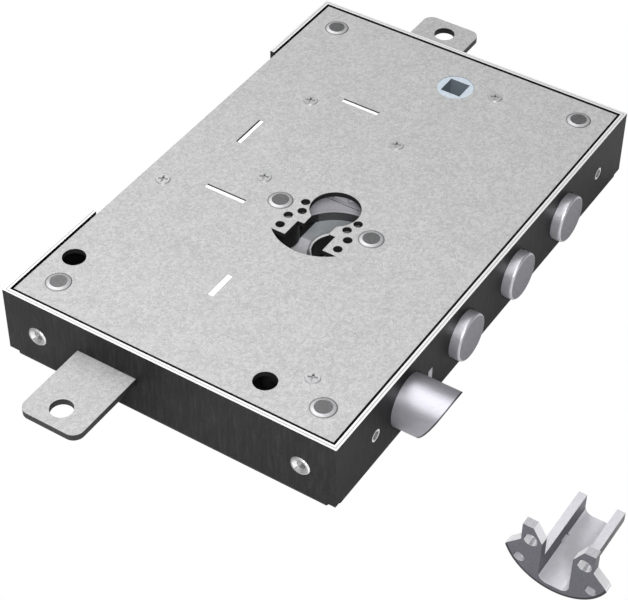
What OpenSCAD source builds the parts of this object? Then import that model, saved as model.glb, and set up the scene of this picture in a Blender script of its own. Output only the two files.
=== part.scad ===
// Multipoint door lock: a folded steel case with three round deadbolts, a bevelled latch,
// two rods that leave through the end walls, and a gear train that a key cylinder turns.
// The lock lies on its back. The origin is the key cylinder's axis on the outer back face.
// +X points to the deadbolts, +Y to the handle's follower and +Z out of the cover.

/* [Case] */
// Outer width of the case, from its open side to the bolt side
case_w = 134; // [125:0.5:150]
// Outer length of the case between its end walls
case_l = 203.2; // [195:0.2:230]
// Height of the side walls above the back face
case_h = 30.2; // [29.5:0.1:36]
// Thickness of the folded sheet
sheet = 1.8; // [1.2:0.1:2.4]
// Outer radius of the folded edges
bend_r = 3; // [2.5:0.1:3.5]
// Distance from the cylinder's axis to the outer face of the bolt wall
axis_front = 62.1; // [60:0.1:75]
// Part of the case's length that lies below the cylinder's axis
axis_share = 0.47736; // [0.45:0.00001:0.5]
// Width of the notch at each folded corner
relief_w = 4; // [2:0.1:5]
// Height of each folded corner's notch above the fold
relief_rise = 0.2; // [0.1:0.1:2]
// Length of the side wall's lower piece, measured from the lower end
side_low = 49.5; // [30:0.5:60]
// Length of the side wall's upper piece, measured from the upper end
side_up = 40.7; // [30:0.5:60]
// Thickness of the cover plate
cover_t = 2; // [1.5:0.1:3]
// Gap between the cover plate's edge and the walls
cover_gap = 1; // [0.1:0.05:1.2]
// Depth of the cover's face below the top of the walls
cover_drop = 0.2; // [0.1:0.1:1]

/* [Cylinder opening] */
// Radius of the round part, which takes the cylinder's barrel
round_r = 9.3; // [8.8:0.1:10.5]
// Half the width of the neck below the barrel
neck_half = 5.2; // [5:0.1:6]
// Depth of the neck's lower end below the axis
neck_low = 12.5; // [11:0.1:14]
// Half the width of the middle step
step_half = 7.8; // [7:0.1:9]
// Depth of the middle step's lower end below the axis
step_low = 20.8; // [19:0.1:22]
// Radius of the arc that closes the opening below
arc_r = 19.6; // [19.2:0.1:21]
// Depth of the arc's centre below the axis
arc_drop = 6.6; // [6:0.1:7.5]
// Radius of the eight small holes beside the opening
guard_hole_r = 1.7; // [1:0.1:1.8]
// Distance between the two protector posts
post_spacing = 38; // [37.5:0.1:40]
// Depth of the protector posts below the axis
post_drop = 6.65; // [6:0.05:8]
// Radius of a protector post
post_r = 6.8; // [5:0.1:7]

/* [Fasteners] */
// Inset of the corner rivets from the outer faces of the case
rivet_inset = 13.5; // [11:0.1:16]
// Radius of a rivet's shank
rivet_r = 3; // [2:0.1:3.5]
// Radius of a rivet's head at the cover
rivet_head_r = 4.7; // [4.2:0.1:5.5]
// Radius of the flat top of a rivet's head
rivet_top_r = 3.1; // [2.5:0.1:4]
// Height of a rivet's head above the cover
rivet_head_h = 0.5; // [0.3:0.1:1.2]
// Radius of the spacer between the back and the cover
spacer_r = 5; // [4:0.1:6]
// Radius of a cover screw's head
screw_head_r = 2.8; // [2.4:0.1:3.6]
// Height of a cover screw's head
screw_head_h = 0.5; // [0.4:0.1:1.4]
// Radius of a cover screw's shank
screw_r = 1.5; // [1.2:0.1:1.8]
// Length of a cover screw under its head
screw_len = 6; // [4:0.5:8]
// Radius of the two holes that go through the whole lock
through_r = 4.25; // [3.5:0.05:4.5]
// Radius of the threaded holes in the walls' inserts
wall_thread_r = 1.65; // [1.2:0.05:2.2]
// Radius of a wall nut's rim
wall_nut_r = 3.7; // [3.2:0.1:4.2]

/* [Deadbolts] */
// Diameter of a deadbolt
bolt_d = 18; // [14:0.1:18.2]
// Distance between two deadbolts
bolt_pitch = 36.65; // [34:0.05:38]
// Height of the lowest deadbolt beside the cylinder's axis
bolt_low_y = -16.6; // [-18:0.1:-14]
// Distance of the bolts' axes from the back face
bolt_z = 15.3; // [14.9:0.1:15.7]
// How far a deadbolt stands out when drawn back
bolt_out = 3.9; // [2:0.1:6]
// Radius of the rounded edge at a deadbolt's end
bolt_round = 0.9; // [0.3:0.1:3]
// Travel of the deadbolts
bolt_throw = 27; // [15:0.5:27]

/* [Latch] */
// Diameter of the latch
latch_d = 20; // [18:0.1:20.4]
// Place of the latch below the cylinder's axis
latch_y = -53.3; // [-55:0.1:-52]
// Distance of the latch's axis from the back face
latch_z = 14.9; // [14.7:0.1:15.3]
// How far the latch's long side stands out
latch_out = 18; // [14:0.1:20]
// Angle of the latch's curved bevel to its end, measured at the tip
latch_bevel = 21; // [15:0.5:30]
// Radius of the latch's curved bevel
latch_bevel_r = 63.8; // [40:0.1:200]
// Radius of the latch's spindle
spindle_r = 4; // [3:0.1:4.5]
// Travel of the latch
latch_throw = 17; // [10:0.5:17]

/* [Rods] */
// Width of the rods
rod_w = 24.4; // [20:0.1:25]
// Thickness of the rods
rod_t = 2.5; // [2:0.1:3.2]
// Place of the rods' middle beside the cylinder's axis
rod_x = -28.9; // [-30:0.1:-28]
// Distance of the rods' lower face from the back face
rod_z = 15.2; // [14.7:0.1:15.4]
// How far the lower rod stands out when drawn back
rod_low_out = 31.8; // [20:0.1:45]
// How far the upper rod stands out when drawn back
rod_up_out = 29.7; // [20:0.1:45]
// Radius of the hole near a rod's end
rod_hole_r = 4.15; // [2:0.05:5]
// Distance from a rod's end to its hole
rod_hole_inset = 8.1; // [7:0.1:12]
// Radius of a rod's rounded corners
rod_corner_r = 4; // [1:0.1:6]

/* [Gears] */
// Module of every gear and rack
gear_module = 1; // [1:0.01:1]
// Teeth of the gear round the cylinder
cam_teeth = 26; // [26:1:26]
// Teeth of the wheel that the cylinder's gear drives
drive_teeth = 36; // [36:1:36]
// Teeth of the small pinions
pinion_teeth = 11; // [11:1:11]
// Teeth of the pinion that turns one rod's travel into the other's
reverse_teeth = 14; // [14:1:14]
// Teeth of the wheel that drives the bolt carriage
carriage_teeth = 20; // [20:1:20]
// Height of the drive gear's axle beside the cylinder's axis
drive_y = 0.7; // [0.5:0.1:1]
// Radius of the gears' axles
axle_r = 3; // [2.5:0.1:3.1]
// Thickness of the cylinder gear and its wheel
wheel_t = 2.8; // [2:0.1:3]

/* [Handle follower] */
// Distance from the cylinder's axis to the follower's axis
follower_y = 85; // [85:0.1:86]
// Side of the follower's square hole
square_w = 8.1; // [7:0.1:9.1]
// Radius of the follower's hub
hub_r = 7; // [6.5:0.05:8]
// Turn of the handle in degrees
handle_turn = 30; // [10:1:30]

/* [Cylinder cradle] */
// Place of the loose cradle beside the cylinder's axis
cradle_x = 135; // [100:0.1:170]
// Place of the cradle's flange along the lock
cradle_y = -86.4; // [-110:0.1:40]
// Radius of the cradle's flange
cradle_r = 19; // [17:0.1:19.4]
// Thickness of the cradle's flange
cradle_t = 3.3; // [2:0.1:5]
// Length of the cradle with its channel
cradle_len = 32; // [20:0.1:40]
// Half the inner width of the channel
channel_half = 5.3; // [5:0.1:6]
// Thickness of the channel's walls
channel_wall = 2.9; // [2:0.1:3.1]
// Height of the channel's walls
channel_h = 11; // [10:0.1:16]
// Radius of the cradle's two upper screw holes
cradle_hole_r = 2.4; // [1.5:0.1:2.6]
// Radius of the cradle's two lower screw holes
cradle_low_r = 1.9; // [1:0.1:2.4]

/* [Hidden] */

// Fits and clearances
run_fit = 0.06;
free_gap = 0.3;
bolt_gap = 0.3;
eps = 0.01;

// Planes and edges of the case
axis_low = case_l * axis_share;
relief_h = bend_r + relief_rise;
x_front = axis_front;
x_back = axis_front - case_w;
y_low = -axis_low;
y_up = case_l - axis_low;
cover_top = case_h - cover_drop;
cover_low = cover_top - cover_t;
wall_in = x_front - sheet;
rivet_places = [[x_back + rivet_inset, y_low + rivet_inset], [x_front - rivet_inset, y_low + rivet_inset],
                [x_back + rivet_inset, y_up - rivet_inset], [x_front - rivet_inset, y_up - rivet_inset]];
through_places = [[x_back + 10.1, y_low + 26.4], [x_front - 35.6, y_low + 13.2]];
post_places = [[-post_spacing / 2, -post_drop], [post_spacing / 2, -post_drop]];
guard_places = [[11, -2.5], [9.4, -7.2], [12.4, -11.6], [12, -17.4]];
wall_screw_z = 15.1;
face_screw_low = 24.3;
face_screw_up = 20.4;
face_screw_places = [y_low + face_screw_low, y_up - face_screw_up];
face_nut_r = 2.4;
nut_body_r = 2.9;

// The gear train
pressure = 25;
tooth_add = 0.9 * gear_module;
tooth_ded = 1.15 * gear_module;
tooth_play = 0.14;
tooth_step = PI * gear_module;
pinion_r = gear_module * pinion_teeth / 2;
reverse_r = gear_module * reverse_teeth / 2;
carriage_r = gear_module * carriage_teeth / 2;
train_gap = gear_module * (cam_teeth + drive_teeth) / 2;
drive_x = -sqrt(train_gap * train_gap - drive_y * drive_y);
drive_place = [drive_x, drive_y];
reverse_place = [-41.5, 47.6];
carriage_place = [-0.5, 42.5];
train_angle = atan2(drive_y, drive_x);
rod_throw = bolt_throw * pinion_r / carriage_r;
bolt_places = [for (i = [0:2]) bolt_low_y + i * bolt_pitch];

// Levels of the pieces above the back face
plate_low = 10.5;
plate_top = 12.5;
wheel_z = sheet + free_gap;
rod_top = rod_z + rod_t;
head = (cover_low - rod_top) / 10.3;
bar_z = rod_top + head;
bar_t = 3 * head;
bar_top = bar_z + bar_t;
link_t = 2 * head;
link_z = cover_low - 2.7 * head;
crank_t = 1.8 * head;
crank_z = cover_low - 4.9 * head;
flange_top = cover_low - 3.6 * head;
flange_low = 7.5;

// The cup round the cylinder
cup_r = 18.6;
cup_wall = 1.4;
cup_floor = 8.7;
cup_t = 1;
collar_in = 8.6;
collar_out = 9.6;
collar_top = 10.8;
way_half = 8.5;
way_low = 27.5;
gap_half = 5.4;

// The plates that carry the gears
plate_x0 = x_back + 6;
plate_x1 = 25.5;
split_y = 21;
plate_y0 = -34;
plate_y1 = 75;
low_pillars = [[-62, 5], [18, -29], [-40, -29], [20, 16]];
up_pillars = [[-62, 30], [-62, 60], [18, 31], [18, 70]];
cover_screw_places = [[15.9, 87.5], reverse_place, carriage_place, drive_place, [-60.8, -20.3], [38.6, -74.3]];

// The bolt carriage
flange_x = 26.2;
flange_t = 3;
bolt_rear = flange_x + flange_t;
stud_r = 3;
carriage_y0 = -24;
carriage_y1 = 66.5;
pin_place = [20, 26.3];
pin_r = 3;
guide_t = 3;

// The blades that hang in the cover's slots
blade_t = 2;
slot_gap = 0.1;
blades = [[-31.6, -16, 54.8], [12.3, 27.4, -50.2], [-45.8, -29.3, -14.3], [-60.5, -48.9, -11.5]];

// The latch and its drive
latch_r = latch_d / 2;
latch_rear = 40;
latch_step = 58;
latch_slim_r = 7.7;
spindle_end = -13.5;
crank_place = [19, -66.5];
crank_in = 12;
crank_out = latch_throw / (2 * sin(40));
drive_block_x = crank_place[0] + crank_out * sin(40);
block_half = 5.5;
crank_pin_r = 2.3;
pin_play = 0.5;
lever_r = 30;
lever_start = -17;
link_pin_x = lever_r * cos(lever_start);
link_x = [26.3, 34.3];

// The slot in the cradle's left wall: its ends along the channel and its heights
cradle_slot = [15.5, 19.9, 3.6, 5.2];

// Helpers
module slab(x0, x1, y0, y1, z0, z1)
  translate([x0, y0, z0])
    cube([x1 - x0, y1 - y0, z1 - z0]);

module area(x0, x1, y0, y1)
  translate([x0, y0])
    square([x1 - x0, y1 - y0]);

module rod(place, r, z0, z1)
  translate([place[0], place[1], z0])
    cylinder(r = r, h = z1 - z0, $fn = 64);

module x_rod(y, z, r, x0, x1)
  translate([x0, y, z])
    rotate([0, 90, 0])
      cylinder(r = r, h = x1 - x0, $fn = 96);

module y_rod(x, z, r, y0, y1)
  translate([x, y0, z])
    rotate([-90, 0, 0])
      cylinder(r = r, h = y1 - y0, $fn = 64);

// The angle that an involute has unwound at a given pressure angle
function unwound(a) = tan(a) * 180 / PI - a;

// Half the angle that a tooth fills at radius r
function tooth_half(r, pitch_r) =
  let (base_r = pitch_r * cos(pressure))
  let (at_pitch = (tooth_step / 2 - tooth_play) / (2 * pitch_r) * 180 / PI)
  at_pitch + unwound(pressure) - (r > base_r ? unwound(acos(base_r / r)) : 0);

function polar(r, a) = [r * cos(a), r * sin(a)];

// Outline of a gear with involute flanks and one tooth centred on the given angle
module gear_outline(teeth, phase) {
  pitch_r = gear_module * teeth / 2;
  root_r = pitch_r - tooth_ded;
  tip_r = pitch_r + tooth_add;
  radii = [for (k = [0:5]) root_r + (tip_r - root_r) * k / 5];
  polygon([for (i = [0:teeth - 1])
    let (middle = phase + i * 360 / teeth)
    each concat([for (k = [0:5]) polar(radii[k], middle - tooth_half(radii[k], pitch_r))],
                [for (k = [5:-1:0]) polar(radii[k], middle + tooth_half(radii[k], pitch_r))])]);
}

module gear(teeth, phase, z0, z1)
  translate([0, 0, z0])
    linear_extrude(z1 - z0)
      gear_outline(teeth, phase);

// Rack teeth that point to +Y, with a gap centred on x = 0 and the pitch line on y = 0
module rack_outline(first, last) {
  half = (tooth_step / 2 - tooth_play) / 2;
  foot = half + tooth_ded * tan(pressure);
  tip = half - tooth_add * tan(pressure);
  for (i = [first:last])
    translate([(i + 0.5) * tooth_step, 0])
      polygon([[-foot, -tooth_ded - eps], [foot, -tooth_ded - eps], [foot, -tooth_ded],
               [tip, tooth_add], [-tip, tooth_add], [-foot, -tooth_ded]]);
}

// Outline of the opening for the key cylinder, in the cover and in the back
module cylinder_outline() {
  circle(r = round_r, $fn = 96);
  area(-neck_half, neck_half, -neck_low - eps, 0);
  area(-step_half, step_half, -step_low - eps, -neck_low);
  difference() {
    translate([0, -arc_drop])
      circle(r = arc_r, $fn = 128);
    area(-arc_r, arc_r, -step_low, arc_r);
  }
}

// Half of a round-ended strip, from a centre to a second centre
module strip(a, b, r) {
  length = norm(b - a);
  translate(a)
    rotate(atan2(b[1] - a[1], b[0] - a[0])) {
      area(0, length, -r, r);
      circle(r = r, $fn = 48);
      translate([length, 0])
        circle(r = r, $fn = 48);
    }
}

// The folded tray

// Section of a folded wall: a quarter ring and the upright sheet, with the outer face on x = 0
module wall_section(top) {
  difference() {
    translate([-bend_r, bend_r])
      circle(r = bend_r, $fn = 64);
    translate([-bend_r, bend_r])
      circle(r = bend_r - sheet, $fn = 64);
    area(-3 * bend_r, -bend_r, -bend_r, 3 * bend_r);
    area(-3 * bend_r, bend_r, bend_r, 3 * bend_r);
  }
  area(-bend_r - eps, -bend_r, 0, sheet);
  area(-sheet, 0, bend_r, top);
}

// A wall along +Y of the given length, with its outer face on x = 0
module wall(length, bend_start, bend_end) {
  translate([0, length - bend_end, 0])
    rotate([90, 0, 0])
      linear_extrude(length - bend_start - bend_end)
        wall_section(case_h);
  slab(-sheet, 0, 0, length, relief_h, case_h);
}

module case_tray()
  color([0.27, 0.27, 0.28])
    difference() {
      union() {
        slab(x_back + bend_r, x_front - bend_r, y_low + bend_r, y_up - bend_r, 0, sheet);
        slab(x_back, x_back + bend_r, y_low + side_low, y_up - side_up, 0, sheet);
        translate([x_front, y_low, 0])
          wall(case_l, relief_w, relief_w);
        translate([x_back, y_low + side_low, 0])
          rotate(180)
            wall(side_low, 0, relief_w);
        translate([x_back, y_up, 0])
          rotate(180)
            wall(side_up, relief_w, 0);
        translate([x_back, y_low, 0])
          rotate(-90)
            wall(case_w, relief_w, relief_w);
        translate([x_front, y_up, 0])
          rotate(90)
            wall(case_w, relief_w, relief_w);
      }
      tray_cuts();
    }

module tray_cuts() {
  translate([0, 0, -1])
    linear_extrude(sheet + 2)
      cylinder_outline();
  for (p = through_places)
    rod(p, through_r, -1, sheet + 1);
  for (p = rivet_places)
    rod(p, rivet_r + run_fit, -1, sheet + 1);
  rod([0, follower_y], hub_r + run_fit, -1, sheet + 1);
  for (y = bolt_places)
    x_rod(y, bolt_z, bolt_d / 2 + bolt_gap, wall_in - 1, x_front + 1);
  x_rod(latch_y, latch_z, latch_r + bolt_gap, wall_in - 1, x_front + 1);
  for (y = face_screw_places)
    x_rod(y, wall_screw_z, face_nut_r + run_fit, wall_in - 1, x_front + 1);
  slab(wall_in - 1, x_front + 1, guide_tab[0] - slot_gap, guide_tab[1] + slot_gap,
       guide_tab[2] - slot_gap, guide_tab[3] + slot_gap);
  for (y = [y_low - 1, y_up - sheet - 1]) {
    slab(rod_x - rod_w / 2 - 0.4, rod_x + rod_w / 2 + 0.4, y, y + sheet + 2, rod_z - 0.4, rod_top + 0.4);
    for (x = [x_back + rivet_inset, x_front - rivet_inset])
      y_rod(x, wall_screw_z, nut_body_r + run_fit, y, y + sheet + 2);
  }
}

// The cover plate
module cover_plate()
  color([0.78, 0.78, 0.79])
    difference() {
      slab(x_back + sheet + cover_gap, wall_in - cover_gap, y_low + sheet + cover_gap,
           y_up - sheet - cover_gap, cover_low, cover_top);
      translate([0, 0, cover_low - 1])
        linear_extrude(cover_t + 2)
          cover_holes();
    }

module cover_holes() {
  cylinder_outline();
  for (p = guard_places)
    for (side = [-1, 1])
      translate([side * p[0], p[1]])
        circle(r = guard_hole_r, $fn = 32);
  for (p = through_places)
    translate(p)
      circle(r = through_r, $fn = 64);
  for (p = concat(rivet_places, post_places))
    translate(p)
      circle(r = rivet_r + run_fit, $fn = 48);
  for (p = cover_screw_places)
    translate(p)
      circle(r = screw_r + run_fit, $fn = 32);
  translate([0, follower_y])
    circle(r = hub_r + run_fit, $fn = 96);
  for (i = [0:3])
    blade_slot(i);
}

// A slot for a blade's tab: blades 0 and 2 run along X, blades 1 and 3 along Y
module blade_slot(i) {
  b = blades[i];
  half = blade_t / 2 + slot_gap;
  if (i % 2 == 0)
    area(b[0] - slot_gap, b[1] + slot_gap, b[2] - half, b[2] + half);
  else
    area(b[2] - half, b[2] + half, b[0] - slot_gap, b[1] + slot_gap);
}

// Posts, pillars and screws

module rivet_head(place)
  translate([place[0], place[1], cover_top])
    cylinder(r1 = rivet_head_r, r2 = rivet_top_r, h = rivet_head_h, $fn = 64);

module corner_posts()
  color([0.55, 0.55, 0.56])
    for (p = rivet_places) {
      rod(p, rivet_r, 0, cover_top);
      rod(p, spacer_r, sheet, cover_low);
      rivet_head(p);
    }

module protector_posts()
  color([0.55, 0.55, 0.56])
    for (p = post_places) {
      rod(p, rivet_r, cover_low - eps, cover_top);
      rod(p, post_r, plate_top, cover_low);
      rivet_head(p);
    }

// A pillar under the cover with a threaded hole for a cover screw
module screw_pillar(place, r, z0)
  difference() {
    rod(place, r, z0, cover_low);
    rod(place, screw_r, cover_top - screw_len - 0.5, cover_low + 1);
  }

module cover_pillars()
  color([0.6, 0.6, 0.6]) {
    screw_pillar(cover_screw_places[0], 3.5, bar_top + 1.3);
    screw_pillar(cover_screw_places[4], 3.4, sheet);
    screw_pillar(cover_screw_places[5], 3.5, sheet);
  }

module cover_screws()
  color([0.7, 0.69, 0.75])
    for (p = cover_screw_places)
      translate([p[0], p[1], cover_top])
        cover_screw();

// One screw with a cross recess, its head's underside on z = 0
module cover_screw()
  difference() {
    union() {
      cylinder(r1 = screw_head_r, r2 = screw_head_r - 0.3, h = screw_head_h, $fn = 48);
      translate([0, 0, -screw_len])
        cylinder(r = screw_r - 0.02, h = screw_len + eps, $fn = 32);
    }
    for (a = [20, 110])
      rotate(a)
        translate([-screw_head_r * 0.62, -0.4, -screw_head_h])
          cube([screw_head_r * 1.24, 0.8, 3 * screw_head_h]);
  }

module wall_nuts()
  color([0.8, 0.8, 0.8]) {
    for (x = [x_back + rivet_inset, x_front - rivet_inset])
      for (end = [0, 1])
        translate([x, end == 0 ? y_low : y_up, wall_screw_z])
          rotate([end == 0 ? -90 : 90, 0, 0])
            wall_nut();
    for (y = face_screw_places)
      difference() {
        x_rod(y, wall_screw_z, face_nut_r, wall_in - 3, x_front - 0.1);
        x_rod(y, wall_screw_z, wall_thread_r, wall_in - 4, x_front + 1);
      }
  }

// A threaded insert with its rim outside the wall on z < 0
module wall_nut()
  difference() {
    union() {
      translate([0, 0, -0.5])
        cylinder(r1 = wall_nut_r - 0.4, r2 = wall_nut_r, h = 0.5, $fn = 48);
      cylinder(r = nut_body_r, h = sheet + 3, $fn = 48);
    }
    translate([0, 0, -1])
      cylinder(r = wall_thread_r, h = sheet + 5, $fn = 48);
    translate([0, 0, -0.5 - eps])
      cylinder(r1 = nut_body_r - 0.2, r2 = wall_thread_r - eps, h = 1, $fn = 48);
  }

// The plate behind the bolt wall, whose holes guide the bolts and the latch
guide_tab = [-39.3, -36.7, 11.1, 16.1];
module front_guide_plate()
  color([0.66, 0.66, 0.67])
    difference() {
      union() {
        slab(wall_in - guide_t, wall_in, -66, 68, bend_r + free_gap, cover_low - free_gap);
        slab(wall_in - eps, x_front, guide_tab[0], guide_tab[1], guide_tab[2], guide_tab[3]);
      }
      for (y = bolt_places)
        x_rod(y, bolt_z, bolt_d / 2 + run_fit, wall_in - guide_t - 1, x_front + 1);
      x_rod(latch_y, latch_z, latch_r + run_fit, wall_in - guide_t - 1, x_front + 1);
    }

// The plates that carry the gears
module plate_holes(places, r)
  for (p = places)
    translate(p)
      circle(r = r, $fn = 48);

module gear_plate()
  color([0.62, 0.6, 0.66])
    translate([0, 0, plate_low])
      linear_extrude(plate_top - plate_low)
        difference() {
          area(plate_x0, plate_x1, plate_y0, split_y);
          circle(r = cup_r + cup_wall + run_fit, $fn = 128);
          area(-way_half, way_half, -way_low, 0);
          plate_holes([drive_place], pinion_r - tooth_ded + 0.4);
          plate_holes([cover_screw_places[4]], 3.5);
        }

module upper_plate()
  color([0.66, 0.66, 0.7])
    translate([0, 0, plate_low])
      linear_extrude(plate_top - plate_low)
        difference() {
          area(plate_x0, plate_x1, split_y + 0.25, plate_y1);
          plate_holes([reverse_place, carriage_place], axle_r + run_fit);
        }

module chassis_pillars()
  color([0.6, 0.6, 0.6])
    for (p = concat(low_pillars, up_pillars))
      rod(p, 4, sheet, plate_low);

// The pressed cup round the cylinder, flush with the gear plate
module cylinder_cup()
  color([0.64, 0.62, 0.66])
    difference() {
      rod([0, 0], cup_r + cup_wall, cup_floor - cup_t, plate_top);
      rod([0, 0], cup_r, cup_floor, plate_top + 1);
      rod([0, 0], collar_out + 0.5, 0, plate_top);
      slab(-way_half, way_half, -way_low, 0, 0, plate_top + 1);
    }

// The open gear that the cylinder's cam turns, with a collar round the barrel
module cam_gear()
  color([0.7, 0.7, 0.72])
    difference() {
      union() {
        gear(cam_teeth, train_angle, wheel_z, wheel_z + wheel_t);
        rod([0, 0], collar_out, wheel_z, collar_top);
      }
      rod([0, 0], collar_in, 0, collar_top + 1);
      translate([0, 0, collar_top - 0.6])
        cylinder(r1 = collar_in - eps, r2 = collar_out - 0.2, h = 0.61, $fn = 96);
      slab(-gap_half, gap_half, -axis_low, 0, 0, collar_top + 1);
      slab(-gap_half - 1, gap_half + 1, -axis_low, -collar_out - 0.1, 0, collar_top + 1);
    }

// Gears on their axles
module axle_bore(z0, z1)
  translate([0, 0, z0])
    cylinder(r = axle_r + run_fit, h = z1 - z0, $fn = 48);

module drive_gear()
  color([0.72, 0.72, 0.74])
    translate(drive_place)
      difference() {
        union() {
          gear(drive_teeth, train_angle + 180 + 180 / drive_teeth, wheel_z, wheel_z + wheel_t);
          rod([0, 0], pinion_r - tooth_ded, wheel_z, rod_z);
          gear(pinion_teeth, 180, rod_z - 0.2, rod_top + 0.2);
        }
        axle_bore(0, case_h);
      }

module reversing_pinion()
  color([0.72, 0.72, 0.74])
    translate(reverse_place)
      difference() {
        union() {
          rod([0, 0], pinion_r - 0.5, plate_top + free_gap, rod_z);
          gear(reverse_teeth, 0, rod_z - 0.2, rod_top + 0.2);
        }
        axle_bore(0, case_h);
      }

module carriage_gear()
  color([0.72, 0.72, 0.74])
    translate(carriage_place)
      difference() {
        union() {
          rod([0, 0], pinion_r - tooth_ded, plate_top + free_gap, bar_top);
          gear(pinion_teeth, 180, rod_z - 0.2, rod_top + 0.2);
          gear(carriage_teeth, 90, bar_z - 0.1, bar_top + 0.1);
        }
        axle_bore(0, case_h);
      }

module drive_axle()
  color([0.6, 0.6, 0.6])
    screw_pillar(drive_place, axle_r, sheet);

module reversing_axle()
  color([0.6, 0.6, 0.6])
    screw_pillar(reverse_place, axle_r, sheet);

module carriage_axle()
  color([0.6, 0.6, 0.6])
    screw_pillar(carriage_place, axle_r, sheet);

// Spring clips that keep the gears on their axles
module clip(place, z0)
  difference() {
    rod(place, axle_r + 2, z0, z0 + 0.8);
    rod(place, axle_r + 0.02, z0 - 1, z0 + 2);
    slab(place[0] - 1.6, place[0] + 1.6, place[1], place[1] + 9, z0 - 1, z0 + 2);
  }

module axle_clips()
  color([0.3, 0.3, 0.32]) {
    clip(drive_place, rod_top + 0.5);
    clip(reverse_place, rod_top + 0.5);
    clip(carriage_place, bar_top + 0.4);
  }

// The rods

// A rod's outer end: a strip with two rounded corners and a hole, its end on y = 0
module rod_end(length)
  difference() {
    union() {
      area(-rod_w / 2, rod_w / 2, -length, -rod_corner_r);
      area(-rod_w / 2 + rod_corner_r, rod_w / 2 - rod_corner_r, -rod_corner_r - eps, 0);
      for (side = [-1, 1])
        translate([side * (rod_w / 2 - rod_corner_r), -rod_corner_r])
          circle(r = rod_corner_r, $fn = 48);
    }
    translate([0, -rod_hole_inset])
      circle(r = rod_hole_r, $fn = 64);
  }

rack_drive_x = drive_place[0] - pinion_r;
rack_right_x = reverse_place[0] + reverse_r;
rack_left_x = reverse_place[0] - reverse_r;
rack_lift_x = carriage_place[0] - pinion_r;
divider_right = blades[1][2] + blade_t / 2 + free_gap;
divider_left = blades[1][2] - blade_t / 2 - free_gap;
travel_teeth = ceil(rod_throw / tooth_step) + 1;

module upper_rod()
  color([0.74, 0.74, 0.75])
    translate([0, 0, rod_z])
      linear_extrude(rod_t) {
        translate([rod_x, y_up + rod_up_out])
          rod_end(y_up + rod_up_out - 60);
        area(rack_right_x + tooth_ded, rack_lift_x - tooth_ded, 20, 60 + eps);
        area(-46.6, -25, 8, 24);
        area(divider_right, rack_drive_x - tooth_ded, -22, 8 + eps);
        translate([rack_drive_x, drive_place[1]])
          rotate(-90)
            rack_outline(-2, travel_teeth);
        translate([rack_right_x, reverse_place[1]])
          rotate(90)
            rack_outline(-travel_teeth, 1);
        translate([rack_lift_x, carriage_place[1]])
          rotate(-90)
            rack_outline(-2, travel_teeth);
      }

module lower_rod()
  color([0.74, 0.74, 0.75])
    translate([0, 0, rod_z])
      linear_extrude(rod_t) {
        translate([rod_x, y_low - rod_low_out])
          rotate(180)
            rod_end(-59 - y_low + rod_low_out);
        area(-57, -32, -62, -50);
        area(-57, divider_left, -50 - eps, 44 + eps);
        area(-57, rack_left_x - tooth_ded, 43, 67);
        translate([rack_left_x, reverse_place[1]])
          rotate(-90)
            rack_outline(-travel_teeth, 0);
      }

// A block inside an end wall with a slot for the rod
module rod_guide(y0, y1)
  difference() {
    slab(rod_x - rod_w / 2 - 3, rod_x + rod_w / 2 + 3, y0, y1, bend_r + free_gap, rod_top + 4);
    slab(rod_x - rod_w / 2 - 0.3, rod_x + rod_w / 2 + 0.3, y0 - 1, y1 + 1, rod_z - 0.3, rod_top + 0.3);
  }

module upper_rod_guide()
  color([0.8, 0.7, 0.4])
    rod_guide(y_up - sheet - 6, y_up - sheet);

module lower_rod_guide()
  color([0.8, 0.7, 0.4])
    rod_guide(y_low + sheet, y_low + sheet + 6);

// Blades staked into the cover's slots

// A blade along X, with its tab in slot i
module x_blade(i, extra, z0) {
  b = blades[i];
  slab(b[0] - extra, b[1] + extra, b[2] - blade_t / 2, b[2] + blade_t / 2, z0, cover_low);
  slab(b[0], b[1], b[2] - blade_t / 2, b[2] + blade_t / 2, cover_low - eps, cover_top);
}

module upper_blade()
  color([0.7, 0.7, 0.7])
    x_blade(0, 2, bar_top + free_gap);

module lower_blade()
  color([0.7, 0.7, 0.7])
    x_blade(2, 2, rod_top + free_gap);

module rod_divider()
  color([0.7, 0.7, 0.7]) {
    b = blades[1];
    slab(b[2] - blade_t / 2, b[2] + blade_t / 2, b[0] - 2, b[1] + 0.2, plate_top, cover_low);
    slab(b[2] - blade_t / 2, b[2] + blade_t / 2, b[0], b[1], cover_low - eps, cover_top);
  }

module spindle_guide()
  color([0.7, 0.7, 0.7]) {
    b = blades[3];
    difference() {
      slab(b[2] - blade_t / 2, b[2] + blade_t / 2, latch_y - 11, latch_y + 11, sheet, cover_low);
      x_rod(latch_y, latch_z, spindle_r + run_fit, b[2] - blade_t, b[2] + blade_t);
    }
    slab(b[2] - blade_t / 2, b[2] + blade_t / 2, b[0], b[1], cover_low - eps, cover_top);
  }

// The bolt carriage and the deadbolts
module bolt_carriage()
  color([0.68, 0.68, 0.7]) {
    difference() {
      slab(flange_x, bolt_rear, carriage_y0, carriage_y1, flange_low, flange_top);
      for (y = bolt_places)
        x_rod(y, bolt_z, stud_r + 0.02, flange_x - 1, bolt_rear + 1);
    }
    translate([0, 0, bar_z])
      linear_extrude(bar_t)
        difference() {
          union() {
            area(-32, flange_x + eps, carriage_place[1] + carriage_r + tooth_ded, carriage_y1);
            area(-11, flange_x + eps, 20.2, 31.1);
            translate([carriage_place[0], carriage_place[1] + carriage_r])
              rotate(180)
                rack_outline(-2, ceil(bolt_throw / tooth_step));
          }
          strip([pin_place[0] - bolt_throw, pin_place[1]], pin_place, pin_r + 0.2);
        }
  }

module carriage_pin()
  color([0.6, 0.6, 0.6]) {
    rod(pin_place, pin_r, plate_top, bar_top + free_gap);
    rod(pin_place, pin_r + 2, plate_top, bar_z - free_gap);
    rod(pin_place, pin_r + 2, bar_top + free_gap, bar_top + free_gap + 1.5);
  }

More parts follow.
